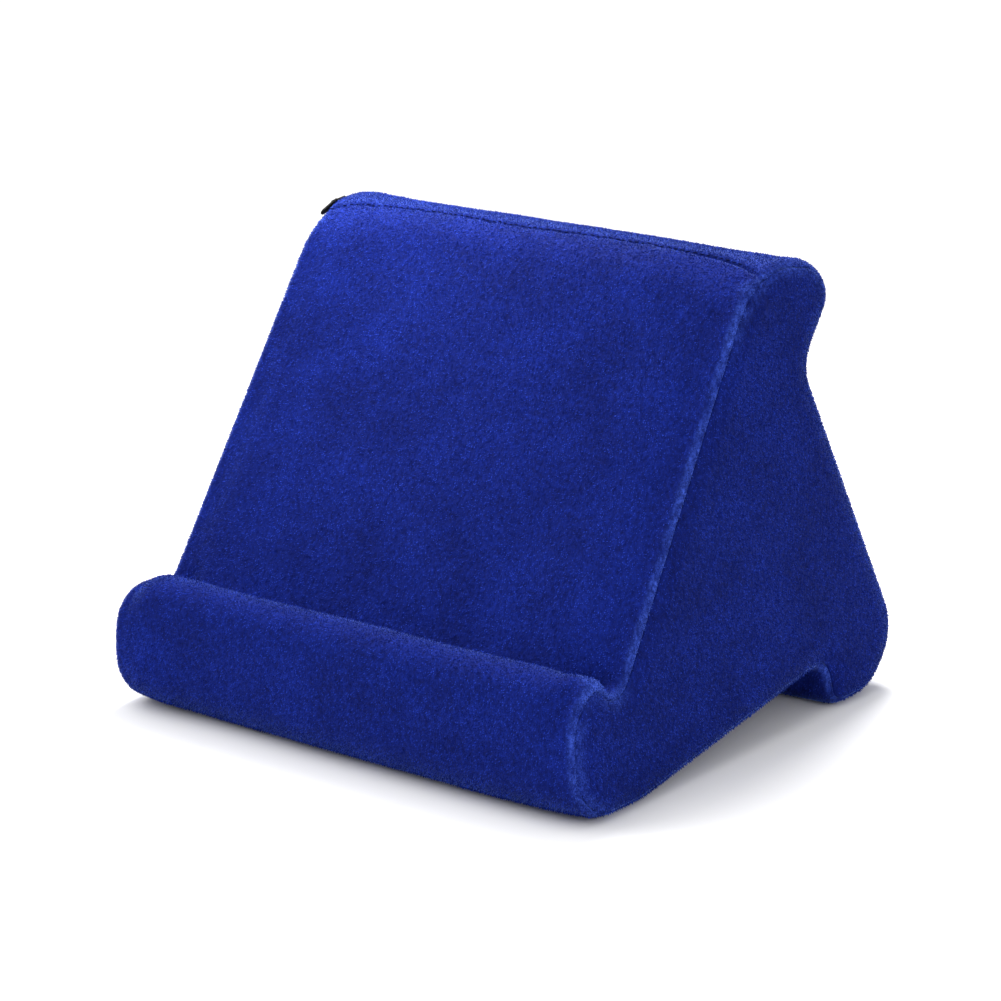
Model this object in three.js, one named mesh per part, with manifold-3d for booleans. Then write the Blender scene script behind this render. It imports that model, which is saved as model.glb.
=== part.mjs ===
import * as THREE from 'three';
import { mergeVertices } from 'three/addons/utils/BufferGeometryUtils.js';
import Module from 'manifold-3d';

// Tablet pillow stand: a plush wedge cushion with three rounded lobes and three channels.
// Millimetres. X runs along the cushion, Y to its back and Z up, the origin is on the surface
// it stands on, under the middle of its footprint. Front is -Y, the leaning face looks that way.

// Driving sizes
const width = 265;
const height = 221;
const endLean = 8.5;

// Rolled edge between the wrap panel and an end panel: the seam lies this far round the roll
const rollRadius = 9;
const seamAngle = 0.9;
const rollSteps = 4;

// End panels
const panelThickness = 2;
const panelCrown = 3.2;
const panelCrownReach = 7;
const gap = 0.3;
const panelInsets = [2.6, 5.5, 9];
const cornerShare = 0.7;
const beyondShare = 0.2;

// The wrap panel's section. y is measured back from where the lip touches the surface, z up from it.
// A section near the ends and one at mid-length, where the filling swells the cover most; R rounds
// the corner, arc is its number of steps and run the steps from it to the next corner's arc.
const section = [
  { corner: 'ledge channel', endY: 3, endZ: 53.5, endR: 8, midY: -11, midZ: 48, midR: 3, arc: 5, run: 1 },
  { corner: 'lip back', endY: -8, endZ: 57.2, endR: 12, midY: -13, midZ: 65.6, midR: 8, arc: 6, run: 1 },
  { corner: 'lip crest', endY: -32, endZ: 64, endR: 16.5, midY: -36, midZ: 65.4, midR: 13.5, arc: 7, run: 1 },
  { corner: 'lip front', endY: -32.5, endZ: 0, endR: 29, midY: -32, midZ: -2, midR: 29, arc: 8, run: 1 },
  { corner: 'lip foot', endY: 17.5, endZ: 0, endR: 30, midY: 17.5, midZ: -2, midR: 30, arc: 4, run: 4 },
  { corner: 'base notch', endY: 161.5, endZ: 24, endR: 9, midY: 162.5, midZ: 24, midR: 9, arc: 6, run: 1 },
  { corner: 'heel toe', endY: 168, endZ: 0, endR: 12, midY: 167, midZ: -2, midR: 12, arc: 5, run: 1 },
  { corner: 'heel sole', endY: 203, endZ: 0, endR: 30, midY: 208, midZ: -2, midR: 30, arc: 6, run: 1 },
  { corner: 'heel', endY: 225, endZ: 26.5, endR: 25, midY: 230, midZ: 28, midR: 25, arc: 8, run: 5 },
  { corner: 'back notch', endY: 149, endZ: 166, endR: 15, midY: 140, midZ: 166, midR: 15, arc: 6, run: 1 },
  { corner: 'top lobe', endY: 173, endZ: 210.5, endR: 18.5, midY: 172, midZ: 210, midR: 20, arc: 8, run: 2 },
  { corner: 'top edge', endY: 108.5, endZ: 222, endR: 44, midY: 105, midZ: 224.5, midR: 29, arc: 8, run: 6 },
];

// A corner leaves its place at mid-length by this power of the way to an end. The lip keeps its
// full roll almost to the ends.
const usualBow = 3.5;
const lateBow = { 'ledge channel': 6, 'lip back': 20, 'lip crest': 20 };

// Distance in from the seam plane of the sections between the two rolled edges
const stations = [9.5, 14, 20, 30, 44, 62, 86, 110];

// Zip, laid over the left end panel's seam from above the heel to the top edge. Its slider is
// parked at the front end, pointing along the seam, with the pull tab hanging forward from it.
const tapeWidth = 5;
const tapeThickness = 1.3;
const zipTilt = 1.2;
const zipFrom = { corner: 'heel', step: 9 };
const zipTo = { corner: 'top edge', step: 3 };
const zipInset = 1.8;
const zipLift = 0.5;
const sliderPlace = 1;
const slider = { length: 6.4, width: 7.4, wall: 0.8, roof: 0.7, skirt: 0.9 };
const bridge = { length: 5.2, width: 1.6, rise: 3.1, bar: 0.8, slant: 0.4 };
const bridgeRoot = 0.2;
const pull = { length: 15, headWidth: 4.6, tipWidth: 2.6, thickness: 0.9, corner: 0.9, shoulder: 4 };
const eye = { start: 1.2, length: 2.6, width: 2.4 };
const pullLift = 1.2;
const pullDroop = 0.2;

const plush = { color: 0x1a2a9c, roughness: 0.9, metalness: 0 };
const nylon = { color: 0x141418, roughness: 0.6, metalness: 0 };
const blackMetal = { color: 0x1b1b1e, roughness: 0.35, metalness: 0.6 };

const mix = THREE.MathUtils.lerp;

// One corner of the section, rounded by an arc between the two straight runs beside it
function roundedCorner(before, corner, after, radius, steps) {
  const toBefore = before.clone().sub(corner).normalize();
  const toAfter = after.clone().sub(corner).normalize();
  const halfAngle = Math.acos(THREE.MathUtils.clamp(toBefore.dot(toAfter), -1, 1)) / 2;
  const bisector = toBefore.clone().add(toAfter).normalize();
  const centre = corner.clone().addScaledVector(bisector, radius / Math.sin(halfAngle));
  const reach = radius / Math.tan(halfAngle);
  const first = corner.clone().addScaledVector(toBefore, reach).sub(centre);
  const last = corner.clone().addScaledVector(toAfter, reach).sub(centre);
  const turn = Math.atan2(first.cross(last), first.dot(last));
  const least = turn > 0 ? radius : Infinity;
  return Array.from({ length: steps + 1 }, (_, i) => {
    const point = first.clone().rotateAround(new THREE.Vector2(), (turn * i) / steps);
    return { at: point.add(centre), least };
  });
}

// The closed section at a share of the way from mid-length to an end. Each point has its outward
// normal and the radius of an outer corner, which limits how far it is drawn in.
function sectionOutline(share, shift = footprintMiddle) {
  const swell = section.map(({ corner }) => 1 - share ** (lateBow[corner] ?? usualBow));
  const corners = section.map((row, i) => new THREE.Vector2(
    mix(row.endY, row.midY, swell[i]) - shift,
    mix(row.endZ, row.midZ, swell[i]),
  ));
  const count = corners.length;
  const arcs = section.map((row, i) => roundedCorner(
    corners[(i + count - 1) % count], corners[i], corners[(i + 1) % count],
    mix(row.endR, row.midR, swell[i]), row.arc,
  ));
  const points = [];
  section.forEach((row, i) => {
    arcs[i].forEach((point) => points.push({ corner: row.corner, ...point }));
    const start = arcs[i][row.arc].at;
    const stop = arcs[(i + 1) % count][0].at;
    for (let step = 1; step < row.run; step += 1) {
      const at = start.clone().lerp(stop, step / row.run);
      points.push({ corner: row.corner, at, least: Infinity });
    }
  });
  points.forEach((point, i) => {
    const before = points[(i + points.length - 1) % points.length].at;
    const after = points[(i + 1) % points.length].at;
    const along = after.clone().sub(before).normalize();
    point.normal = new THREE.Vector2(along.y, -along.x);
  });
  return points;
}

// Half-way from the front of the lip to the back of the heel at mid-length
const widest = sectionOutline(0, 0).map((point) => point.at.x);
const footprintMiddle = (Math.min(...widest) + Math.max(...widest)) / 2;

// How far one point of the outline is drawn in: an outer corner moves less, so it doesn't fold over
function insetAt(inset, least) {
  const limit = cornerShare * least;
  return inset < limit ? inset : limit + beyondShare * (inset - limit);
}

// A ring in space: an outline drawn in by an inset, at a distance along X that may depend on that
// inset. The ends lean in towards the top, and nothing lies below the surface it stands on.
function ring(outline, inset, xAt) {
  return outline.map(({ at, normal, least }) => {
    const own = insetAt(inset, least);
    const point = at.clone().addScaledVector(normal, -own);
    const z = Math.max(point.y, 0);
    const lean = 1 - (endLean / (width / 2)) * (z / height);
    return new THREE.Vector3(xAt(own) * lean, point.x, z);
  });
}

// A closed body from rings in order along X, shut at both ends by triangulated caps
function loft(rings, material, name) {
  const positions = rings.flatMap((points) => points.flatMap((p) => [p.x, p.y, p.z]));
  const count = rings[0].length;
  const faces = [];
  for (let r = 0; r < rings.length - 1; r += 1) {
    for (let i = 0; i < count; i += 1) {
      const a = r * count + i;
      const b = r * count + ((i + 1) % count);
      faces.push(a, b, b + count, a, b + count, a + count);
    }
  }
  [0, rings.length - 1].forEach((r) => {
    const flat = rings[r].map((p) => new THREE.Vector2(p.y, p.z));
    THREE.ShapeUtils.triangulateShape(flat, []).forEach(([a, b, c]) => {
      const corners = r === 0 ? [a, c, b] : [a, b, c];
      faces.push(...corners.map((corner) => corner + r * count));
    });
  });
  return body(positions, faces, material, name);
}

// A mesh with its faces turned outwards
function body(positions, faces, material, name) {
  let volume = 0;
  const corner = (i) => new THREE.Vector3().fromArray(positions, 3 * i);
  for (let i = 0; i < faces.length; i += 3) {
    volume += corner(faces[i]).dot(corner(faces[i + 1]).cross(corner(faces[i + 2])));
  }
  const geometry = new THREE.BufferGeometry();
  geometry.setAttribute('position', new THREE.Float32BufferAttribute(positions, 3));
  geometry.setIndex(volume > 0 ? faces : faces.toReversed());
  const merged = mergeVertices(geometry, 1e-4);
  merged.computeVertexNormals();
  const mesh = new THREE.Mesh(merged, new THREE.MeshStandardMaterial(material));
  mesh.name = name;
  return mesh;
}

// Seam plane and the roll that leads to it
const seamX = width / 2;
const rollStart = seamX - rollRadius * Math.sin(seamAngle);
const seamInset = rollRadius * (1 - Math.cos(seamAngle));

// How far past the seam plane an end panel stands at an inset from the seam
function panelRise(inset) {
  const fromRim = Math.max(inset - seamInset - gap, 0);
  return panelCrown * (1 - Math.exp(-fromRim / panelCrownReach));
}

// Half of the cushion's rings, from its end cap to near the middle. The cap is a bed for the panel.
function cushionRings() {
  const endOutline = sectionOutline(1);
  const bed = panelThickness + gap;
  const rings = [...panelInsets].reverse().map((inset) => ring(
    endOutline, seamInset + inset, (own) => seamX + panelRise(own) - bed,
  ));
  rings.push(ring(endOutline, seamInset, () => seamX - bed));
  for (let step = rollSteps; step >= 0; step -= 1) {
    const angle = (seamAngle * step) / rollSteps;
    const x = rollStart + rollRadius * Math.sin(angle);
    rings.push(ring(endOutline, rollRadius * (1 - Math.cos(angle)), () => x));
  }
  stations.forEach((distance) => {
    const x = seamX - distance;
    rings.push(ring(sectionOutline(x / rollStart), 0, () => x));
  });
  return rings;
}

function cushion() {
  const half = cushionRings();
  const middle = ring(sectionOutline(0), 0, () => 0);
  const mirrored = half.map((points) => points.map((p) => new THREE.Vector3(-p.x, p.y, p.z)));
  return loft([...half, middle, ...mirrored.reverse()], plush, 'cushion');
}

// An end panel: a sheet bedded in the cushion's end, its rim a little inside the seam
function endPanel(side, name) {
  const endOutline = sectionOutline(1);
  const insets = [gap, ...panelInsets].map((inset) => seamInset + inset);
  const sheetSide = (depth) => insets.map((inset) => ring(
    endOutline, inset, (own) => side * (seamX + panelRise(own) - depth),
  ));
  const rings = [...sheetSide(0).reverse(), ...sheetSide(panelThickness)];
  return loft(side > 0 ? rings.reverse() : rings, plush, name);
}

// Where the zip lies: along the left seam, on the panel's rim. Each place has its outward and
// sideways directions.
function zipPath() {
  const outline = sectionOutline(1);
  const seam = ring(outline, seamInset + zipInset, (own) => -seamX - panelRise(own));
  const indexOf = ({ corner, step }) => outline.findIndex((point) => point.corner === corner) + step;
  const places = [];
  for (let i = indexOf(zipFrom); i <= indexOf(zipTo); i += 1) {
    const inPlane = new THREE.Vector3(0, outline[i].normal.x, outline[i].normal.y);
    const endways = new THREE.Vector3(-1, 0, 0);
    const outward = inPlane.clone().multiplyScalar(Math.cos(zipTilt))
      .addScaledVector(endways, Math.sin(zipTilt));
    const sideways = inPlane.multiplyScalar(Math.sin(zipTilt))
      .addScaledVector(endways, -Math.cos(zipTilt));
    places.push({ at: seam[i], outward, sideways });
  }
  return places;
}

// Turns and moves a shape drawn along X, outward Z, so that X follows a place's seam
function frameAt({ at, outward, sideways }) {
  const along = sideways.clone().cross(outward);
  return new THREE.Matrix4().makeBasis(along, sideways, outward).setPosition(at);
}

function shapeOf(corners) {
  return new THREE.Shape(corners.map(([a, b]) => new THREE.Vector2(a, b)));
}

// A rectangular strip that follows the places, its underside at a height above them
function strip(places, stripWidth, low, high, material, name) {
  const positions = places.flatMap(({ at, outward, sideways }) => {
    const corners = [[-1, low], [1, low], [1, high], [-1, high]];
    return corners.flatMap(([across, up]) => at.clone()
      .addScaledVector(sideways, (across * stripWidth) / 2)
      .addScaledVector(outward, up).toArray());
  });
  const faces = [0, 2, 1, 0, 3, 2];
  const last = 4 * (places.length - 1);
  faces.push(last, last + 1, last + 2, last, last + 2, last + 3);
  for (let i = 0; i < places.length - 1; i += 1) {
    for (let k = 0; k < 4; k += 1) {
      const a = 4 * i + k;
      const b = 4 * i + ((k + 1) % 4);
      faces.push(a, b, b + 4, a, b + 4, a + 4);
    }
  }
  return body(positions, faces, material, name);
}

const wasm = await Module();
wasm.setup();

function toSolid(geometry) {
  geometry.deleteAttribute('normal');
  geometry.deleteAttribute('uv');
  const merged = mergeVertices(geometry, 1e-4);
  return new wasm.Manifold(new wasm.Mesh({
    numProp: 3,
    vertProperties: merged.attributes.position.array,
    triVerts: new Uint32Array(merged.index.array),
  }));
}

// Underside and top of the slider's roof over the seam
const roofLow = zipLift + tapeThickness + gap;
const roofHigh = roofLow + slider.roof;

// The slider: a roof and two skirts that straddle the chain, and the bridge that holds the pull
function zipSlider(place) {
  const outer = slider.width / 2;
  const inner = outer - slider.wall;
  const channel = shapeOf([
    [-outer, slider.skirt], [-inner, slider.skirt], [-inner, roofLow], [inner, roofLow],
    [inner, slider.skirt], [outer, slider.skirt], [outer, roofHigh], [-outer, roofHigh],
  ]);
  const shell = new THREE.ExtrudeGeometry(channel, { depth: slider.length, bevelEnabled: false });
  shell.translate(0, 0, -slider.length / 2);
  shell.applyMatrix4(new THREE.Matrix4().makeBasis(
    new THREE.Vector3(0, 1, 0), new THREE.Vector3(0, 0, 1), new THREE.Vector3(1, 0, 0),
  ));
  const half = bridge.length / 2;
  const top = roofHigh + bridge.rise;
  const arch = shapeOf([
    [-half, roofHigh - bridgeRoot], [half, roofHigh - bridgeRoot],
    [half - bridge.slant, top], [-half + bridge.slant, top],
  ]);
  arch.holes.push(shapeOf([
    [-half + bridge.bar, roofHigh], [half - bridge.bar, roofHigh],
    [half - bridge.bar - bridge.slant, top - bridge.bar],
    [-half + bridge.bar + bridge.slant, top - bridge.bar],
  ]));
  const handle = new THREE.ExtrudeGeometry(arch, { depth: bridge.width, bevelEnabled: false });
  handle.translate(0, 0, -bridge.width / 2);
  handle.rotateX(Math.PI / 2);
  const { vertProperties, triVerts } = toSolid(shell).add(toSolid(handle)).getMesh();
  const mesh = body(Array.from(vertProperties), Array.from(triVerts), blackMetal, 'zip_slider');
  mesh.applyMatrix4(frameAt(place));
  return mesh;
}

// The pull tab: a tapered plate whose eye goes round the bridge's front leg
function zipPull(place) {
  const head = pull.headWidth / 2;
  const tip = pull.tipWidth / 2;
  const oneSide = [
    [0, head - pull.corner], [pull.corner, head], [pull.shoulder, head],
    [pull.length - pull.corner, tip], [pull.length, tip - pull.corner],
  ];
  const plate = shapeOf([...oneSide.map(([a, b]) => [a, -b]), ...oneSide.toReversed()]);
  const eyeStop = eye.start + eye.length;
  const half = eye.width / 2;
  plate.holes.push(shapeOf([[eye.start, -half], [eyeStop, -half], [eyeStop, half], [eye.start, half]]));
  const geometry = new THREE.ExtrudeGeometry(plate, { depth: pull.thickness, bevelEnabled: false });
  const eyeMiddle = eye.start + eye.length / 2;
  const legMiddle = (bridge.length - bridge.bar - bridge.slant) / 2;
  geometry.rotateY(pullDroop);
  geometry.translate(legMiddle - eyeMiddle, 0, roofHigh + pullLift);
  const mesh = new THREE.Mesh(geometry, new THREE.MeshStandardMaterial(blackMetal));
  mesh.name = 'zip_pull';
  mesh.applyMatrix4(frameAt(place));
  return mesh;
}

const model = new THREE.Group();
const path = zipPath();
const parked = path[path.length - 1 - sliderPlace];
model.add(cushion());
model.add(endPanel(1, 'end_panel_right'));
model.add(endPanel(-1, 'end_panel_left'));
model.add(strip(path, tapeWidth, zipLift, zipLift + tapeThickness, nylon, 'zip_chain'));
model.add(zipSlider(parked));
model.add(zipPull(parked));

export default model;
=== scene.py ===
# Looks of the tablet pillow stand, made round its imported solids
import math
import random
import bmesh
import bpy
from mathutils import Matrix, Vector, noise
from mathutils.bvhtree import BVHTree
from mathutils.kdtree import KDTree


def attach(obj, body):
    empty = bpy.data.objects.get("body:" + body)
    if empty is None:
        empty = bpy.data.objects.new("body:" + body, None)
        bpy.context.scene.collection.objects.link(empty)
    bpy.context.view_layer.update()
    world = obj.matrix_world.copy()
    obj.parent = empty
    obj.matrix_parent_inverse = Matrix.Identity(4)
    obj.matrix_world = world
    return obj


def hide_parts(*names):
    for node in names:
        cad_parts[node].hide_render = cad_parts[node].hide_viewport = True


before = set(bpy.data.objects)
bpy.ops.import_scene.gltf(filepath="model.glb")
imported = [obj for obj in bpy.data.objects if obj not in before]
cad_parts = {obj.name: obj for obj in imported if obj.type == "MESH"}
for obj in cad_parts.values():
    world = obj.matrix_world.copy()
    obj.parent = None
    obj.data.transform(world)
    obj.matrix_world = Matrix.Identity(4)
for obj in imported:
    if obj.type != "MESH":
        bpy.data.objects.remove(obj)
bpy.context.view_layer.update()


def smoothStep(low, high, value):
    share = min(max((value - low) / (high - low), 0), 1)
    return share * share * (3 - 2 * share)


def bell(away, width):
    return math.exp(-((away / width) ** 2))


# Camera and studio

shot = {
    "lens": 123.0,  # mm on a 36 mm sensor
    "place": (0.9280, -1.1975, 0.5335),
    "azimuth": 37.93,  # degrees round from straight in front
    "elevation": 16.17,  # degrees above the floor
}


def makeCamera():
    azimuth = math.radians(shot["azimuth"])
    elevation = math.radians(shot["elevation"])
    forward = Vector((
        -math.sin(azimuth) * math.cos(elevation),
        math.cos(azimuth) * math.cos(elevation),
        -math.sin(elevation),
    ))
    camera = bpy.data.objects.new("camera", bpy.data.cameras.new("camera"))
    bpy.context.scene.collection.objects.link(camera)
    camera.data.lens = shot["lens"]
    camera.location = shot["place"]
    camera.rotation_mode = "QUATERNION"
    camera.rotation_quaternion = forward.to_track_quat("-Z", "Y")
    camera.data.clip_start = 0.05
    camera.data.clip_end = 60
    bpy.context.scene.camera = camera


studio = {
    "floorSize": 12,
    "floorShade": (0.93, 0.93, 0.93, 1),
    "floorFade": 0.985,  # the floor's clouds are this much darker
    "roomShade": (1, 1, 1, 1),
    "roomStrength": 0.64,
    "sky": {"towards": (0.40, 0.45, -1.0), "angle": 70, "strength": 2.1},
    "lamps": [
        # name, place, what it points at, size, watts
        ("topLamp", (-0.10, -0.01, 0.35), (-0.06, 0.01, 0.20), 0.18, 0.62),
        ("backLamp", (-0.15, 0.36, 0.85), (0, -0.05, 0.1), 0.40, 9.0),
        ("sideLamp", (1.30, -0.35, 0.70), (0, 0, 0.1), 0.80, 3.5),
    ],
}


def makeLight(name, kind, place, towards):
    light = bpy.data.objects.new(name, bpy.data.lights.new(name, kind))
    bpy.context.scene.collection.objects.link(light)
    light.location = place
    light.rotation_mode = "QUATERNION"
    light.rotation_quaternion = towards.to_track_quat("-Z", "Y")
    return light.data


def makeStudio():
    scene = bpy.context.scene
    scene.view_settings.view_transform = "Standard"
    world = bpy.data.worlds.new("room")
    world.use_nodes = True
    world.node_tree.nodes["Background"].inputs["Color"].default_value = studio["roomShade"]
    world.node_tree.nodes["Background"].inputs["Strength"].default_value = studio["roomStrength"]
    scene.world = world
    sky = makeLight("skyLight", "SUN", (0, 0, 2), Vector(studio["sky"]["towards"]))
    sky.angle = math.radians(studio["sky"]["angle"])
    sky.energy = studio["sky"]["strength"]
    for name, place, target, size, watts in studio["lamps"]:
        lamp = makeLight(name, "AREA", Vector(place), Vector(target) - Vector(place))
        lamp.shape = "DISK"
        lamp.size = size
        lamp.energy = watts
    mesh = bmesh.new()
    bmesh.ops.create_grid(mesh, x_segments=1, y_segments=1, size=studio["floorSize"] / 2)
    floor = newObject("floor", mesh)
    dress(floor, floorMaterial())


# Shared helpers

def smooth(data):
    data.polygons.foreach_set("use_smooth", [True] * len(data.polygons))


def newObject(name, mesh):
    data = bpy.data.meshes.new(name)
    mesh.to_mesh(data)
    mesh.free()
    smooth(data)
    piece = bpy.data.objects.new(name, data)
    bpy.context.scene.collection.objects.link(piece)
    return piece


def dress(piece, material):
    piece.data.materials.clear()
    piece.data.materials.append(material)


def triangles(piece):
    return sum(len(face.vertices) - 2 for face in piece.data.polygons)


def nodeMesh(node):
    # a node's mesh is loose triangles: their corners are merged
    mesh = bmesh.new()
    mesh.from_mesh(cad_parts[node].data)
    bmesh.ops.remove_doubles(mesh, verts=mesh.verts, dist=1e-6)
    return mesh


def copyOfNode(node, sliver=0):
    # the same in quads, without triangles that are thinner than a sliver
    mesh = nodeMesh(node)
    if sliver:
        bmesh.ops.dissolve_degenerate(mesh, dist=sliver, edges=mesh.edges)
    pairTriangles(mesh, 3)
    return mesh


def pairTriangles(mesh, corners):
    # faces with more corners than this are cut into triangles first
    wide = [face for face in mesh.faces if len(face.verts) > corners]
    bmesh.ops.triangulate(mesh, faces=wide)
    bmesh.ops.join_triangles(
        mesh, faces=mesh.faces,
        angle_face_threshold=math.radians(60), angle_shape_threshold=math.radians(70),
    )


def edgeRings(mesh):
    # edges that face each other across quads, ring by ring
    for edge in mesh.edges:
        edge.tag = False
    for first in mesh.edges:
        if first.tag:
            continue
        first.tag = True
        ring = [first]
        for edge in ring:
            for loop in edge.link_loops:
                across = loop.link_loop_next.link_loop_next.edge
                if len(loop.face.verts) == 4 and not across.tag:
                    across.tag = True
                    ring.append(across)
        yield ring


def evenCells(mesh, longest):
    while True:
        tooLong = []
        for ring in edgeRings(mesh):
            if sum(edge.calc_length() for edge in ring) / len(ring) > longest:
                tooLong.extend(ring)
        if not tooLong:
            return
        bmesh.ops.subdivide_edges(mesh, edges=tooLong, cuts=1, use_grid_fill=True)


def finishedMesh(piece):
    # the piece's mesh with its modifiers applied
    piece.update_tag()
    shown = piece.evaluated_get(bpy.context.evaluated_depsgraph_get())
    data = bpy.data.meshes.new_from_object(shown)
    piece.modifiers.clear()
    old = piece.data
    piece.data = data
    bpy.data.meshes.remove(old)
    data.name = piece.name


def addBead(mesh, place, turn, size):
    # an ellipsoid with these half sizes
    bmesh.ops.create_uvsphere(
        mesh, u_segments=8, v_segments=6, radius=1,
        matrix=Matrix.Translation(place) @ turn @ Matrix.Diagonal((*size, 1)),
    )


# Node materials

class Nodes:
    # a short way to add nodes to one tree
    def __init__(self, tree):
        self.tree = tree

    def add(self, kind, inputs=(), **settings):
        node = self.tree.nodes.new(kind)
        for key, value in settings.items():
            setattr(node, key, value)
        for socket, value in dict(inputs).items():
            self.put(node.inputs[socket], value)
        return node

    def put(self, socket, value):
        if isinstance(value, bpy.types.NodeSocket):
            self.tree.links.new(value, socket)
        else:
            socket.default_value = value

    def math(self, operation, first, second=0.0, third=0.0):
        inputs = {0: first, 1: second, 2: third}
        return self.add("ShaderNodeMath", inputs, operation=operation).outputs[0]

    def ramp(self, value, low, high, start, end):
        return self.add("ShaderNodeMapRange", {
            "Value": value, "From Min": low, "From Max": high, "To Min": start, "To Max": end,
        }).outputs["Result"]

    def mix(self, share, first, second):
        node = self.add("ShaderNodeMix", data_type="RGBA")
        self.put(node.inputs[0], share)
        self.put(node.inputs[6], first)
        self.put(node.inputs[7], second)
        return node.outputs[2]

    def noise(self, scale, detail=2.0, roughness=0.5, stretch=(1, 1, 1), turn=(0, 0, 0)):
        place = self.add("ShaderNodeTexCoord").outputs["Object"]
        mapped = self.add("ShaderNodeMapping", {
            "Vector": place, "Scale": stretch, "Rotation": turn,
        })
        return self.add("ShaderNodeTexNoise", {
            "Vector": mapped.outputs[0], "Scale": scale, "Detail": detail, "Roughness": roughness,
        }).outputs["Fac"]

    def attribute(self, name):
        return self.add("ShaderNodeAttribute", attribute_name=name).outputs["Fac"]

    def attributeVector(self, name):
        return self.add("ShaderNodeAttribute", attribute_name=name).outputs["Vector"]


class Finish(Nodes):
    # a material with one shader, whose sockets are set by name
    def __init__(self, name):
        self.material = bpy.data.materials.new(name)
        self.material.use_nodes = True
        super().__init__(self.material.node_tree)
        self.shader = self.tree.nodes["Principled BSDF"]

    def set(self, **sockets):
        for name, value in sockets.items():
            self.put(self.shader.inputs[name.replace("_", " ")], value)

    def bump(self, height, strength, distance):
        made = self.add("ShaderNodeBump", {
            "Height": height, "Strength": strength, "Distance": distance,
        })
        self.put(self.shader.inputs["Normal"], made.outputs[0])


def floorMaterial():
    finish = Finish("floorPaint")
    pale = studio["floorShade"]
    faded = tuple(studio["floorFade"] * part for part in pale[:3]) + (1,)
    finish.set(Base_Color=finish.mix(finish.noise(3, detail=3), pale, faded), Roughness=0.8)
    return finish.material


plush = {
    "deep": (0.0022, 0.0064, 0.084, 1),  # painted shade at the roots of the pile and on the ground between the tufts
    "blue": (0.0046, 0.0165, 0.205, 1),
    "pale": (0.0340, 0.0920, 0.800, 1),  # tufts that catch more light
    "raisedPileHighlight": (0.0640, 0.1350, 0.700, 1),  # painted highlight on pile pushed up beside a seam
    "sheen": {
        "facing": (0.35, 0.95),  # from straight on to along the cloth
        "weight": (0.02, 1.0),
        "roughness": 0.35,
        "tint": (0.20, 0.34, 1.0, 1),
    },
    "grain": 0.0017,  # m from tuft to tuft
    "cloud": 0.030,  # m across a patch of brushed nap
    "groundClouds": 0.10,  # how much lighter or darker the patches are painted: painted sheen where the nap is brushed another way
    "pileClouds": 0.12,
}


# painted sheen: patches of nap brushed another way are painted lighter or darker
def clouded(finish, value, strength):
    clouds = finish.noise(1 / plush["cloud"], detail=3, roughness=0.55)
    return finish.math("ADD", value, finish.ramp(clouds, 0.3, 0.7, -strength, strength))


def plushSheen(finish, lay=None):
    # pile looks paler the more its cloth is seen from the side
    sheen = plush["sheen"]
    seen = finish.add("ShaderNodeLayerWeight", {"Blend": 0.5})
    if lay is not None:
        finish.put(seen.inputs["Normal"], lay)
    finish.set(
        Roughness=0.9, Specular_IOR_Level=0.1,
        Sheen_Weight=finish.ramp(seen.outputs["Facing"], *sheen["facing"], *sheen["weight"]),
        Sheen_Roughness=sheen["roughness"], Sheen_Tint=sheen["tint"],
    )


def plushMaterial():
    # the ground of the cloth, seen between the tufts, with painted shade darkening it in the grain
    finish = Finish("plushGround")
    tufts = finish.noise(1 / plush["grain"], detail=2.5, roughness=0.6, stretch=(1, 1, 0.6))
    height = clouded(finish, tufts, plush["groundClouds"])
    body = finish.mix(finish.ramp(height, 0.30, 0.70, 0, 1), plush["deep"], plush["blue"])
    lit = finish.ramp(tufts, 0.40, 0.66, 0.25, 1)
    # painted highlight: the raised pile beside the seams is painted paler
    fluffAndHighlight = finish.math("MULTIPLY", finish.attribute("fluffAndHighlight"), lit)
    finish.set(Base_Color=finish.mix(fluffAndHighlight, body, plush["raisedPileHighlight"]))
    finish.bump(tufts, 0.7, 0.5 * plush["grain"])
    plushSheen(finish)
    return finish.material


def pileMaterial():
    # one tuft: painted shade darkens it towards its root; each is a little lighter or darker than
    # its neighbours
    finish = Finish("plushPile")
    shade = clouded(finish, finish.attribute("shade"), plush["pileClouds"])
    tip = finish.mix(finish.ramp(shade, 0.55, 1.0, 0, 1), plush["blue"], plush["pale"])
    lit = finish.ramp(shade, 0.1, 0.9, 0.5, 1.5)
    # painted highlight: the raised pile beside the seams is painted paler, in flecks tuft by tuft
    fluffAndHighlight = finish.math("MULTIPLY", finish.attribute("fluffAndHighlight"), lit)
    tip = finish.mix(fluffAndHighlight, tip, plush["raisedPileHighlight"])
    # painted shade: tufts in the top seam's crease are darkened to the root colour
    tip = finish.mix(finish.attribute("paintedSeamShade"), tip, plush["deep"])
    finish.set(Base_Color=finish.mix(finish.attribute("tip"), plush["deep"], tip))
    finish.bump(finish.noise(4000, detail=1), 0.2, 0.0002)
    plushSheen(finish, finish.attributeVector("lay"))
    return finish.material


nylon = {
    "shades": ((0.003, 0.003, 0.004, 1), (0.010, 0.010, 0.012, 1)),
    "roughness": (0.45, 0.7),
    "ribs": 900,  # in a metre
}

paintedMetal = {
    "shades": ((0.002, 0.002, 0.003, 1), (0.006, 0.006, 0.007, 1)),
    "roughness": (0.55, 0.70),
    "wear": 420,
    "worn": (0.60, 0.72),  # where the wear begins to show, and where it is full
}


def nylonMaterial():
    finish = Finish("blackNylon")
    ribs = finish.noise(nylon["ribs"], detail=2, stretch=(1, 1, 0.4))
    rough = finish.ramp(ribs, 0.3, 0.7, *nylon["roughness"])
    finish.set(Base_Color=finish.mix(ribs, *nylon["shades"]), Roughness=rough)
    finish.set(Specular_IOR_Level=0.2)
    finish.bump(ribs, 0.4, 0.0003)
    return finish.material


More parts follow.
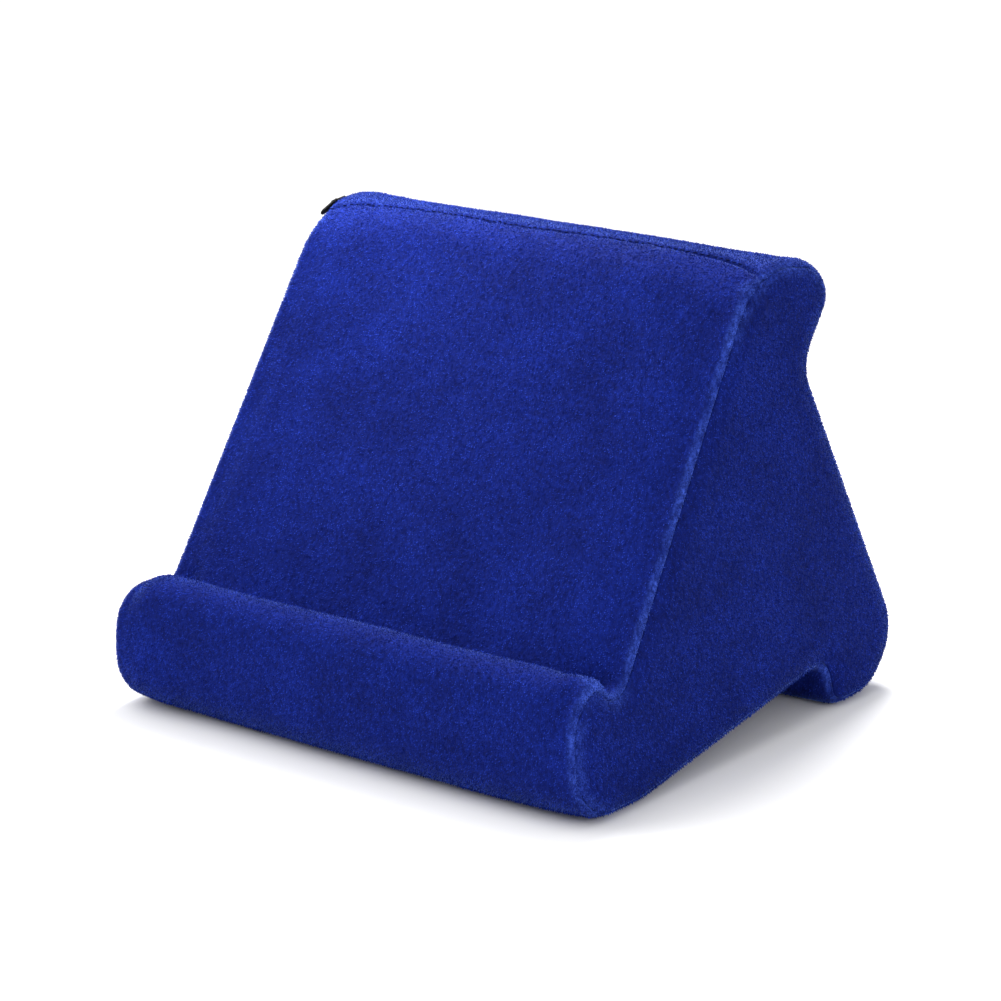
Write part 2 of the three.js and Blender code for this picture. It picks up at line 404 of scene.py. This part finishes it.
def paintedMetalMaterial():
    finish = Finish("blackPaintedMetal")
    wear = finish.noise(paintedMetal["wear"], detail=4, roughness=0.6)
    worn = finish.ramp(wear, *paintedMetal["worn"], 0, 1)
    rough = finish.ramp(wear, 0.3, 0.7, *paintedMetal["roughness"])
    finish.set(Base_Color=finish.mix(worn, *paintedMetal["shades"]), Roughness=rough)
    finish.set(Specular_IOR_Level=0.05)
    finish.bump(wear, 0.15, 0.0002)
    return finish.material


# The end seams lie in planes that lean inwards towards the top

ends = {
    "seamX": 0.1325,
    "lean": 0.0085 / 0.221,  # m inwards for each m of height
    "ridge": {"inside": 0.0035, "width": 0.0022, "rise": 0.0004},
    "valley": {"inside": 0.0125, "width": 0.0050, "depth": 0.0009},  # soft dents in it
    "dents": {"pitch": 0.020, "middle": 0.5, "spread": 0.9},
    "offFloor": (0.0004, 0.006),  # heights over which all this begins
}


def seamDistance(place):
    # how far a place is inside the nearer end seam, measured along the cushion
    return ends["seamX"] - ends["lean"] * place.z - abs(place.x)


# The wrap: one piece of plush round the block, swollen by its filling

wrap = {
    "longestCell": 0.013,
    "drawnIn": 0.0012,  # taken off before the pressure swells it
    "pressure": 4,
    "mostSwell": 0.0030,
    "mostShrink": 0.0003,
    "steps": 20,
    "heldEnds": 0.010,  # held this near an end seam, free from three times as far
    "heldFloor": (0.0004, 0.008),  # heights over which it begins to move
    "channels": ((-0.0985, 0.056), (0.049, 0.166), (0.067, 0.022)),  # their middles, as y and z
    "heldChannel": (0.008, 0.026),  # held within the first distance, free past the second
    "waves": {"size": 0.045, "height": 0.0007, "ends": (0.004, 0.03), "floor": (0.0004, 0.01)},
    "bed": 0.86,  # faces turned to an end more than this lie under its panel
}

topSeam = {
    "above": 0.19,  # the seam is looked for above this height only
    "middleY": 0.0209,
    "endY": 0.0147,
    "dipStart": 0.105,  # from here it runs down to the corner
    "dipPast": 0.006,  # and would reach it this far past the end seam
    "sag": {"at": -0.008, "width": 0.045, "depth": 0.0040},
    "climb": {"along": (0.060, 0.110), "height": 0.0020},
    "groove": 0.0019,
    "grooveWidth": 0.0014,
    # painted shade darkens the tufts in the top seam's crease within this width
    "paintedSeamShadeWidth": 0.0017,
    "uneven": {
        # middle, spread, m from one to the next, row of the noise
        "groove": (0.75, 0.5, 0.012, 7),
        # how unevenly the painted shade in the top seam darkens
        "paintedSeamShade": (0.75, 0.6, 0.004, 11),
    },
    "crease": 0.0034,  # deeper where the seam runs down to the plain end's corner
    "creaseAt": (0.070, 0.122),
    "creaseFade": (0.02, 0.008),
    "pucker": {"pitch": 0.0055, "across": 0.02, "height": 0.0007, "reach": 0.008},
    "finer": ((0.013, 2), (0.0045, 1)),  # nearer the seam than this, cells are halved so often
}


def topSeamY(x):
    middle, end = topSeam["middleY"], topSeam["endY"]
    dip = smoothStep(topSeam["dipStart"], ends["seamX"] + topSeam["dipPast"], abs(x))
    sag, climb = topSeam["sag"], topSeam["climb"]
    sagging = sag["depth"] * bell(x - sag["at"], sag["width"])
    climbing = climb["height"] * smoothStep(*climb["along"], x)
    return middle - sagging + climbing + (end - middle) * dip


def isByTopSeam(place, within):
    return place.z > topSeam["above"] and abs(place.y - topSeamY(place.x)) < within


def refineTopSeam(mesh, within, times):
    for _ in range(times):
        near = [
            edge for edge in mesh.edges
            if all(isByTopSeam(vertex.co, within) for vertex in edge.verts)
        ]
        bmesh.ops.subdivide_edges(mesh, edges=near, cuts=1, use_grid_fill=True)


def unevenness(x, kind):
    middle, spread, pitch, row = topSeam["uneven"][kind]
    return middle + spread * noise.noise(Vector((x / pitch, row, 0)))


def grooveDepth(x):
    start, stop = topSeam["creaseAt"]
    fadeIn, fadeOut = topSeam["creaseFade"]
    inCrease = smoothStep(start, start + fadeIn, x) * smoothStep(stop, stop - fadeOut, x)
    groove = topSeam["groove"]
    return groove * unevenness(x, "groove") + (topSeam["crease"] - groove) * inCrease


def channelFreedom(place):
    # the channels are sewn in, so the filling doesn't swell them
    nearest = min(math.hypot(place.y - y, place.z - z) for y, z in wrap["channels"])
    return smoothStep(*wrap["heldChannel"], nearest)


# Where the real cushion is fuller or hollower than the plain solid, near its ends

fuller = {
    # at: middle as y and z; along: distances from the middle of the cushion, in x
    "lobe": {
        "at": (0.069, 0.193), "reach": 0.025, "along": (0.015, 0.120), "push": 0.0048,
        "up": 0.25,  # of the push
    },
    "pocket": {
        "at": (-0.0965, 0.0585), "reach": 0.0085, "along": 0.1165, "width": 0.0075,
        "sink": 0.0040, "back": 0.35,  # of the sink
    },
    "shoulder": {
        "at": (-0.113, 0.066), "reach": 0.021, "along": (0.112, 0.1265, 0.1290, 0.1325),
        "lift": 0.0056, "back": 0.5,  # of the lift
    },
    "corner": {
        "at": (0.036, 0.218), "reach": 0.030, "along": (0.090, 0.115, 0.1250, 0.1320),
        "lift": 0.0010,
    },
    "cheek": {
        "at": (-0.122, 0.022), "reach": 0.042, "along": (0.090, 0.122, 0.2, 0.3),
        "lift": 0.0026,
    },
}


def distanceTo(place, at):
    return math.hypot(place.y - at[0], place.z - at[1])


def fadeWithin(reach, away):
    # full in the inner part of its reach, nothing at the end of it
    return smoothStep(reach, 0.3 * reach, away)


def liftAt(place, bump):
    start, full, last, stop = bump["along"]
    lift = bump["lift"] * fadeWithin(bump["reach"], distanceTo(place, bump["at"]))
    return lift * smoothStep(start, full, abs(place.x)) * smoothStep(stop, last, abs(place.x))


def fillOut(place):
    lobe, pocket = fuller["lobe"], fuller["pocket"]
    push = lobe["push"] * smoothStep(lobe["reach"], 0, distanceTo(place, lobe["at"]))
    push *= smoothStep(*lobe["along"], abs(place.x))
    sink = pocket["sink"] * bell(distanceTo(place, pocket["at"]), pocket["reach"])
    sink *= bell(abs(place.x) - pocket["along"], pocket["width"])
    # the plain end's lip stands straighter, the zipped end is rounder at the lip and at the top
    if place.x > 0:
        lift = liftAt(place, fuller["shoulder"])
        forward = -fuller["shoulder"]["back"] * lift
    else:
        lift = liftAt(place, fuller["corner"])
        forward = liftAt(place, fuller["cheek"])
    return Vector((0, push + pocket["back"] * sink - forward, lobe["up"] * push - sink + lift))


def swellFilling(piece):
    scene = bpy.context.scene
    held = piece.vertex_groups.new(name="held")
    start = [(vertex.co.copy(), vertex.normal.copy()) for vertex in piece.data.vertices]
    freedom = []
    for vertex in piece.data.vertices:
        free = smoothStep(wrap["heldEnds"], 3 * wrap["heldEnds"], seamDistance(vertex.co))
        free *= smoothStep(*wrap["heldFloor"], vertex.co.z) * channelFreedom(vertex.co)
        freedom.append(free)
        held.add([vertex.index], 1 - free, "REPLACE")
        vertex.co -= vertex.normal * wrap["drawnIn"] * free
    cloth = piece.modifiers.new("filling", "CLOTH")
    cloth.settings.use_pressure = True
    cloth.settings.uniform_pressure_force = wrap["pressure"]
    cloth.settings.effector_weights.gravity = 0
    cloth.settings.vertex_group_mass = "held"
    for step in range(1, wrap["steps"] + 1):
        scene.frame_set(step)
    finishedMesh(piece)
    scene.frame_set(1)
    for vertex, (origin, out), free in zip(piece.data.vertices, start, freedom):
        move = vertex.co - origin
        shrink = -move.dot(out)
        if shrink > wrap["mostShrink"]:
            move += out * (shrink - wrap["mostShrink"])
        if move.length > wrap["mostSwell"]:
            move *= wrap["mostSwell"] / move.length
        vertex.co = origin + move * free


def endSeamRise(place, inside):
    # a low ridge right beside the seam, then soft dents where the stitches pull
    ridge, valley, dents = ends["ridge"], ends["valley"], ends["dents"]
    rise = ridge["rise"] * bell(inside - ridge["inside"], ridge["width"])
    along = Vector((0, place.y, place.z)) / dents["pitch"] + Vector((5, 0, 0))
    deep = max(dents["middle"] + dents["spread"] * noise.noise(along), 0)
    return rise - valley["depth"] * deep * bell(inside - valley["inside"], valley["width"])


def shapeSeams(mesh):
    hidden = mesh.verts.layers.float["hidden"]
    waves, pucker = wrap["waves"], topSeam["pucker"]
    mesh.normal_update()
    moves = []
    for vertex in mesh.verts:
        place = vertex.co
        inside = seamDistance(place)
        free = smoothStep(*waves["ends"], inside) * smoothStep(*waves["floor"], place.z)
        rise = waves["height"] * free * noise.noise(place / waves["size"])
        rise += endSeamRise(place, inside) * smoothStep(*ends["offFloor"], place.z)
        if place.z > topSeam["above"]:
            away = abs(place.y - topSeamY(place.x))
            rise -= grooveDepth(place.x) * bell(away, topSeam["grooveWidth"])
            spot = Vector((place.x / pucker["pitch"], place.y / pucker["across"], 3))
            rise += pucker["height"] * noise.noise(spot) * bell(away, pucker["reach"])
        moves.append(vertex.normal * rise * (1 - vertex[hidden]) + fillOut(place))
    for vertex, move in zip(mesh.verts, moves):
        vertex.co += move


def markHidden(mesh):
    # the bed under each end panel isn't seen: its vertices are marked
    hidden = mesh.verts.layers.float.new("hidden")
    mesh.normal_update()
    for face in mesh.faces:
        if abs(face.normal.x) > wrap["bed"]:
            for vertex in face.verts:
                vertex[hidden] = 1


# Raised pile: it is pushed up beside the seams, unevenly, and painted paler there as a highlight;
# the top seam gets painted shade

raised = {
    "width": 0.0042,  # beside an end seam
    "full": 0.001,  # at its strongest this near
    "lip": {"share": 0.62, "to": (0.045, 0.060)},  # less of it round the lip
    "lobe": {"share": 0.45, "y": (0.012, 0.030), "z": (0.170, 0.190)},  # and on the top lobe
    "panel": {
        # on the end panels at the lip and the top lobe only
        "share": 0.34, "width": 0.0065, "full": 0.0015,
        "lipY": (-0.080, -0.095), "lobeZ": (0.175, 0.195),
        "edge": 0.6,  # faces turned to the end less than this are the sewn edge
    },
    "ragged": {"middle": 0.60, "coarse": (0.6, 0.007), "fine": (0.5, 0.0022)},  # spread, size
    # raised pile with a painted highlight in spots at the ledge's end and at the top corner
    "spots": (
        # y and z, reach, strength, beside either end seam
        ((-0.102, 0.064), 0.014, 0.90),
        ((0.009, 0.212), 0.009, 0.55),
    ),
    # painted highlight: the pile from the top seam back to the top of the lobe is painted paler,
    # where the nap turns and the cloth faces up
    "behind": {"strength": 0.16, "from": 0.0025, "until": (0.075, 0.045)},
}


# painted shade: how much the tufts by the top seam are darkened, as the narrow crease shades them
def paintedSeamShadeAt(place):
    if place.z < topSeam["above"]:
        return 0
    away = abs(place.y - topSeamY(place.x))
    uneven = unevenness(place.x, "paintedSeamShade")
    return min(max(uneven, 0), 1) * bell(away, topSeam["paintedSeamShadeWidth"])


def raggedness(place):
    spread, size = raised["ragged"]["coarse"]
    value = raised["ragged"]["middle"] + spread * noise.noise(place / size)
    spread, size = raised["ragged"]["fine"]
    return value + spread * noise.noise(place / size)


def wrapFluffAndHighlight(place):
    # raised pile and painted highlight beside the end seams, most of all at the ledge and the top
    # corners, and behind the top seam
    lip, lobe, behind = raised["lip"], raised["lobe"], raised["behind"]
    inside = seamDistance(place)
    share = lip["share"] + (1 - lip["share"]) * smoothStep(*lip["to"], place.z)
    onLobe = smoothStep(*lobe["y"], place.y) * smoothStep(*lobe["z"], place.z)
    share *= 1 - (1 - lobe["share"]) * onLobe
    value = share * raggedness(place) * smoothStep(raised["width"], raised["full"], inside)
    for at, reach, strength in raised["spots"]:
        away = math.hypot(place.y - at[0], place.z - at[1], inside)
        value = max(value, strength * fadeWithin(reach, away))
    if place.z > topSeam["above"]:
        past = smoothStep(0, behind["from"], place.y - topSeamY(place.x))
        value = max(value, behind["strength"] * (past * smoothStep(*behind["until"], place.y)))
    return value


def panelFluffAndHighlight(piece):
    # raised pile and painted highlight at each vertex of an end panel, by how far it is from the
    # sewn edge
    panelPile = raised["panel"]
    vertices = piece.data.vertices
    edge = [vertex.co for vertex in vertices if abs(vertex.normal.x) < panelPile["edge"]]
    near = KDTree(len(edge))
    for index, place in enumerate(edge):
        near.insert(place, index)
    near.balance()
    values = []
    for vertex in vertices:
        place = vertex.co
        share = smoothStep(*panelPile["lipY"], place.y) + smoothStep(*panelPile["lobeZ"], place.z)
        inside = near.find(place)[2]
        share *= panelPile["share"] * raggedness(place)
        values.append(share * smoothStep(panelPile["width"], panelPile["full"], inside))
    return values


def paintPile(piece, fluffAndHighlight):
    paintedSeamShade = [paintedSeamShadeAt(vertex.co) for vertex in piece.data.vertices]
    for name, values in (("fluffAndHighlight", fluffAndHighlight), ("paintedSeamShade", paintedSeamShade)):
        layer = piece.data.attributes.new(name, "FLOAT", "POINT")
        layer.data.foreach_set("value", values)


def makeWrap(material):
    mesh = copyOfNode("cushion")
    markHidden(mesh)
    evenCells(mesh, wrap["longestCell"])
    piece = newObject("plushWrap", mesh)
    print("wrap cells", len(piece.data.polygons))
    swellFilling(piece)
    print("wrap swollen")
    piece.modifiers.new("round", "SUBSURF").levels = 1
    finishedMesh(piece)
    mesh = bmesh.new()
    mesh.from_mesh(piece.data)
    for within, times in topSeam["finer"]:
        refineTopSeam(mesh, within, times)
    shapeSeams(mesh)
    mesh.to_mesh(piece.data)
    mesh.free()
    smooth(piece.data)
    paintPile(piece, [wrapFluffAndHighlight(vertex.co) for vertex in piece.data.vertices])
    dress(piece, material)
    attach(piece, "root")
    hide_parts("cushion")
    print("wrap faces", len(piece.data.polygons))
    return piece


# The two end panels

panel = {
    "longestCell": 0.012,
    "sliver": 0.0002,  # thinner triangles than this would fold
    "flat": (0.245, 0.214),  # the box round its outline
    "area": 0.0305,
}


def makeEndPanel(side, material):
    node = "end_panel_" + side
    mesh = copyOfNode(node, panel["sliver"])
    evenCells(mesh, panel["longestCell"])
    pairTriangles(mesh, 4)
    piece = newObject("plushEnd" + side.capitalize(), mesh)
    finer = piece.modifiers.new("finer", "SUBSURF")
    finer.subdivision_type = "SIMPLE"
    finer.levels = 1
    finishedMesh(piece)
    for vertex in piece.data.vertices:
        vertex.co += fillOut(vertex.co)
    paintPile(piece, panelFluffAndHighlight(piece))
    dress(piece, material)
    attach(piece, "root")
    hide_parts(node)
    print("end panel", side, len(piece.data.polygons))
    return piece


# The pile: short tapered tufts, scattered evenly and leaning down the nap

pile = {
    "closer": 0.00075,  # least distance from tuft to tuft where the photo shows the cloth
    "wider": 0.00112,  # and where it doesn't
    "density": 4e6,  # more than the least distance leaves room for
    "tuft": {"length": 0.00105, "root": 0.00040, "sides": 3},
    "least": (0.8, 0.8, 0.7),  # sizes of a tuft, as shares of that
    "most": (1.2, 1.2, 1.25),
    "nap": (0.0, -0.25, -0.65),  # the way the cloth was brushed
    "patches": 0.5,  # how far patches of it were brushed another way
    "ruffle": 0.65,  # how far each tuft strays
    "sunk": 0.0002,
    "raised": 0.50,  # how much longer the tufts are where the pile is pushed up
    "clearance": 0.0022,  # nothing grows this near what the cushion stands on
    "parting": 0.0008,  # nor this near the top seam
}


def pileTree(spacing, seed):
    tree = bpy.data.node_groups.new("pile", "GeometryNodeTree")
    tree.interface.new_socket("Geometry", in_out="INPUT", socket_type="NodeSocketGeometry")
    tree.interface.new_socket("Geometry", in_out="OUTPUT", socket_type="NodeSocketGeometry")
    nodes = Nodes(tree)
    cloth = nodes.add("NodeGroupInput").outputs[0]
    spots = nodes.add("GeometryNodeDistributePointsOnFaces", {
        "Mesh": cloth, "Distance Min": spacing, "Density Max": pile["density"], "Seed": seed,
    }, distribute_method="POISSON")
    shade = randomValue(nodes, "FLOAT", 0.0, 1.0, seed + 1)
    shaded = stored(nodes, spots.outputs["Points"], "shade", shade, "FLOAT")
    laid = stored(nodes, shaded, "lay", spots.outputs["Normal"], "FLOAT_VECTOR")
    place = nodes.add("GeometryNodeInputPosition").outputs[0]
    patch = nodes.add("ShaderNodeTexNoise", {
        "Vector": place, "Scale": 1 / plush["cloud"], "Detail": 3.0,
    }).outputs["Color"]
    centred = vectorMath(nodes, "SUBTRACT", patch, (0.5, 0.5, 0.5))
    swirl = vectorMath(nodes, "SCALE", centred, scale=2 * pile["patches"])
    ruffle = pile["ruffle"]
    stray = randomValue(nodes, "FLOAT_VECTOR", (-ruffle,) * 3, (ruffle,) * 3, seed + 2)
    lean = vectorMath(nodes, "ADD", vectorMath(nodes, "ADD", swirl, stray), pile["nap"])
    upright = vectorMath(nodes, "ADD", spots.outputs["Normal"], lean)
    turned = nodes.add("FunctionNodeAlignRotationToVector", {"Vector": upright}, axis="Z")
    spin = randomValue(nodes, "FLOAT_VECTOR", (0, 0, 0), (0, 0, math.tau), seed + 3)
    spun = nodes.add("FunctionNodeRotateRotation", {
        "Rotation": turned.outputs[0],
        "Rotate By": nodes.add("FunctionNodeEulerToRotation", {0: spin}).outputs[0],
    }, rotation_space="LOCAL")
    size = randomValue(nodes, "FLOAT_VECTOR", pile["least"], pile["most"], seed + 4)
    fluffAndHighlight = nodes.add("GeometryNodeInputNamedAttribute", {"Name": "fluffAndHighlight"}, data_type="FLOAT")
    longer = nodes.math("MULTIPLY_ADD", fluffAndHighlight.outputs[0], pile["raised"], 1.0)
    stretch = nodes.add("ShaderNodeCombineXYZ", {0: 1.0, 1: 1.0, 2: longer}).outputs[0]
    instances = nodes.add("GeometryNodeInstanceOnPoints", {
        "Points": laid, "Instance": tuftMesh(nodes), "Rotation": spun.outputs[0],
        "Scale": vectorMath(nodes, "MULTIPLY", size, stretch),
    })
    realized = nodes.add("GeometryNodeRealizeInstances", {0: instances.outputs[0]})
    nodes.tree.links.new(realized.outputs[0], nodes.add("NodeGroupOutput").inputs[0])
    return tree


def vectorMath(nodes, operation, first, second=None, scale=None):
    node = nodes.add("ShaderNodeVectorMath", {0: first}, operation=operation)
    if second is not None:
        nodes.put(node.inputs[1], second)
    if scale is not None:
        nodes.put(node.inputs["Scale"], scale)
    return node.outputs[0]


def randomValue(nodes, kind, low, high, seed):
    node = nodes.add("FunctionNodeRandomValue", data_type=kind)
    first, result = (0, 0) if kind == "FLOAT_VECTOR" else (2, 1)
    nodes.put(node.inputs[first], low)
    nodes.put(node.inputs[first + 1], high)
    nodes.put(node.inputs["Seed"], seed)
    return node.outputs[result]


def stored(nodes, geometry, name, value, kind):
    return nodes.add("GeometryNodeStoreNamedAttribute", {
        "Geometry": geometry, "Name": name, "Value": value,
    }, data_type=kind, domain="POINT").outputs[0]


def tuftMesh(nodes):
    tuft = pile["tuft"]
    cone = nodes.add("GeometryNodeMeshCone", {
        "Vertices": tuft["sides"], "Radius Top": 0.0, "Radius Bottom": tuft["root"],
        "Depth": tuft["length"],
    }, fill_type="NGON").outputs[0]
    place = nodes.add("GeometryNodeInputPosition").outputs[0]
    up = nodes.add("ShaderNodeSeparateXYZ", {0: place}).outputs["Z"]
    share = nodes.math("DIVIDE", up, tuft["length"])
    tipped = stored(nodes, cone, "tip", share, "FLOAT")
    return nodes.add("GeometryNodeTransform", {
        "Geometry": tipped, "Translation": (0, 0, -pile["sunk"]),
    }).outputs[0]


def growPile(name, cloth, covers, spacing, seed, material):
    # tufts on the faces of a piece of cloth that a test picks by their centre and normal
    mesh = bmesh.new()
    mesh.from_mesh(cloth.data)
    hidden = mesh.verts.layers.float.get("hidden")
    bare = []
    for face in mesh.faces:
        place = face.calc_center_median()
        parted = isByTopSeam(place, pile["parting"])
        covered = place.z > pile["clearance"] and not parted and covers(place, face.normal)
        if hidden is not None:
            covered = covered and max(vertex[hidden] for vertex in face.verts) < 0.01
        if not covered:
            bare.append(face)
    bmesh.ops.delete(mesh, geom=bare, context="FACES")
    piece = newObject(name, mesh)
    piece.modifiers.new("tufts", "NODES").node_group = pileTree(spacing, seed)
    finishedMesh(piece)
    spare = piece.data.attributes.get("hidden")
    if spare is not None:
        piece.data.attributes.remove(spare)
    dress(piece, material)
    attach(piece, "root")
    print(name, "triangles", triangles(piece))
    return piece


areas = {
    "face": {"behind": -0.108, "forward": 0.3, "up": 0.2},
    "lobeAbove": 0.172,
    "lipBefore": -0.060,
    "baseDown": 0.3,  # what is turned down more than this is the base
    "all": (
        # name, distance from tuft to tuft, seed
        ("LeaningFace", "closer", 11),
        ("Lip", "closer", 21),
        ("TopLobe", "closer", 31),
        ("Back", "wider", 41),
        ("Base", "wider", 51),
    ),
    "ends": (
        # side, the way it faces along x, distance from tuft to tuft, seed
        ("right", 1, "closer", 72),
        ("left", -1, "wider", 70),
    ),
    "outerSide": 0.3,  # faces of an end panel turned outwards more than this
}


def clothArea(place, normal):
    # the wrap is covered in five parts
    face = areas["face"]
    if place.y > face["behind"] and normal.y < -face["forward"] and normal.z > face["up"]:
        return "LeaningFace"
    if place.z > areas["lobeAbove"]:
        return "TopLobe"
    if place.y < areas["lipBefore"]:
        return "Lip"
    return "Back" if normal.z > -areas["baseDown"] and place.y > 0 else "Base"


# Dark thread in the top seam

thread = {
    "pitch": 0.0034,
    "length": 0.0024,
    "radius": 0.00034,
    "from": -0.121,
    "to": 0.112,
    "rise": 0.8,  # share of the groove's depth that it stands above its bottom
    "strays": 0.0003,
    "turns": 0.15,
    "lengths": (0.8, 1.1),
    "shades": ((0.001, 0.003, 0.022, 1), (0.003, 0.008, 0.070, 1)),
    "twist": 2600,  # in a metre
}


def threadMaterial():
    finish = Finish("navyThread")
    twist = finish.noise(thread["twist"], detail=1, stretch=(0.5, 1, 1))
    finish.set(Base_Color=finish.mix(twist, *thread["shades"]))
    finish.set(Roughness=0.9, Specular_IOR_Level=0.05)
    finish.bump(twist, 0.5, 0.0002)
    return finish.material


def makeThread(cloth, material):
    surface = BVHTree.FromObject(cloth, bpy.context.evaluated_depsgraph_get())
    draws = random.Random(5)
    strays, turns = thread["strays"], thread["turns"]
    mesh = bmesh.new()
    x = thread["from"]
    while x < thread["to"]:
        middle = x + draws.uniform(-strays, strays)
        top = surface.ray_cast(Vector((middle, topSeamY(middle), 0.3)), Vector((0, 0, -1)))[0]
        slope = topSeamY(middle + 0.001) - topSeamY(middle - 0.001)
        half = 0.5 * thread["length"] * draws.uniform(*thread["lengths"])
        place = top + Vector((0, 0, thread["rise"] * grooveDepth(middle)))
        turn = Matrix.Rotation(math.atan2(slope, 0.002) + draws.uniform(-turns, turns), 4, "Z")
        addBead(mesh, place, turn, (half, thread["radius"], thread["radius"]))
        x += thread["pitch"]
    piece = newObject("topSeamThread", mesh)
    dress(piece, material)
    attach(piece, "root")
    print("thread triangles", triangles(piece))


# The zip

zipCoil = {
    "pitch": 0.00115,
    "toothLength": 0.0030,
    "toothWidth": 0.00090,
    "toothHeight": 0.00100,
    "past": 0.0005,  # how far a tooth reaches past the middle
    "sunk": 0.00045,  # the tape's top lies this far under the solid's
}

slider = {
    "softEdge": 0.00012,
    "pullSoftEdge": 0.00022,
    "flat": 0.02,  # radians; triangles that turn less than this are one face
    "sharp": 30,  # degrees; edges that turn more than this are softened
}


def chainPlaces(mesh):
    # the chain's cross-sections in order from the lower end: vertices, middle, sideways, outwards
    current = sorted(mesh.verts, key=lambda vertex: vertex.co.z)[:4]
    seen = set(current)
    places = []
    while current:
        middle = sum((vertex.co for vertex in current), Vector()) / len(current)
        first = current[0]
        spans = sorted((other.co - first.co for other in current[1:]), key=lambda span: span.length)
        sideways, outwards = spans[1].normalized(), spans[0].normalized()
        if places and sideways.dot(places[-1][2]) < 0:
            sideways = -sideways
        if outwards.x > 0:
            outwards = -outwards
        places.append((current, middle, sideways, outwards))
        following = []
        for vertex in current:
            for edge in vertex.link_edges:
                other = edge.other_vert(vertex)
                if other not in seen:
                    seen.add(other)
                    following.append(other)
        current = following
    return places


def addTooth(mesh, middle, sideways, outwards, side):
    shift = side * (0.5 * zipCoil["toothLength"] - zipCoil["past"])
    along = sideways.cross(outwards)
    turn = Matrix((along, sideways, outwards)).transposed().to_4x4()
    size = [0.5 * zipCoil[part] for part in ("toothWidth", "toothLength", "toothHeight")]
    addBead(mesh, middle + sideways * shift, turn, size)


def makeZip(tapeMaterial, metal):
    tape = nodeMesh("zip_chain")
    places = chainPlaces(tape)
    high = max((vertex.co - places[0][1]).dot(places[0][3]) for vertex in places[0][0])
    teeth = bmesh.new()
    travelled = 0
    side = 1
    for (_, *start), (_, *end) in zip(places, places[1:]):
        step = (end[0] - start[0]).length
        while travelled < step:
            share = travelled / step
            middle, across, out = (first.lerp(last, share) for first, last in zip(start, end))
            across.normalize()
            out = (out - across * out.dot(across)).normalized()
            middle += out * (high - 0.5 * zipCoil["toothHeight"])
            addTooth(teeth, middle, across, out, side)
            side = -side
            travelled += 0.5 * zipCoil["pitch"]
        travelled -= step
    for vertices, middle, _, outwards in places:
        for vertex in vertices:
            if (vertex.co - middle).dot(outwards) > 0:
                vertex.co -= outwards * zipCoil["sunk"]
    for name, mesh, replaced in (("zipTape", tape, True), ("zipTeeth", teeth, False)):
        piece = newObject(name, mesh)
        dress(piece, tapeMaterial)
        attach(piece, "root")
        if replaced:
            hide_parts("zip_chain")
        print(name, "faces", len(piece.data.polygons))
    makeSoftEdged("zipSlider", "zip_slider", slider["softEdge"], metal)
    makeSoftEdged("zipPull", "zip_pull", slider["pullSoftEdge"], metal)


def makeSoftEdged(name, node, softEdge, material):
    mesh = copyOfNode(node)
    flat, limit = slider["flat"], math.radians(slider["sharp"])
    bmesh.ops.dissolve_limit(mesh, angle_limit=flat, verts=mesh.verts, edges=mesh.edges)
    sharp = [edge for edge in mesh.edges if edge.calc_face_angle(0) > limit]
    bmesh.ops.bevel(
        mesh, geom=sharp, offset=softEdge, segments=2, profile=0.5, affect="EDGES",
        clamp_overlap=True, material=-1,
    )
    piece = newObject(name, mesh)
    dress(piece, material)
    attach(piece, "root")
    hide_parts(node)
    print(name, "faces", len(piece.data.polygons))


# The run

def makeStudioAndPieces():
    makeCamera()
    makeStudio()
    blue = plushMaterial()
    black = nylonMaterial()
    metal = paintedMetalMaterial()
    tufted = pileMaterial()
    cloth = makeWrap(blue)
    for area, spacing, seed in areas["all"]:

        def covers(place, normal):
            return clothArea(place, normal) == area

        growPile("pile" + area, cloth, covers, pile[spacing], seed, tufted)
    for side, outwards, spacing, seed in areas["ends"]:
        end = makeEndPanel(side, blue)

        def isOuterSide(place, normal):
            return normal.x * outwards > areas["outerSide"]

        growPile("pileEnd" + side.capitalize(), end, isOuterSide, pile[spacing], seed, tufted)
    makeThread(cloth, threadMaterial())
    makeZip(black, metal)


makeStudioAndPieces()
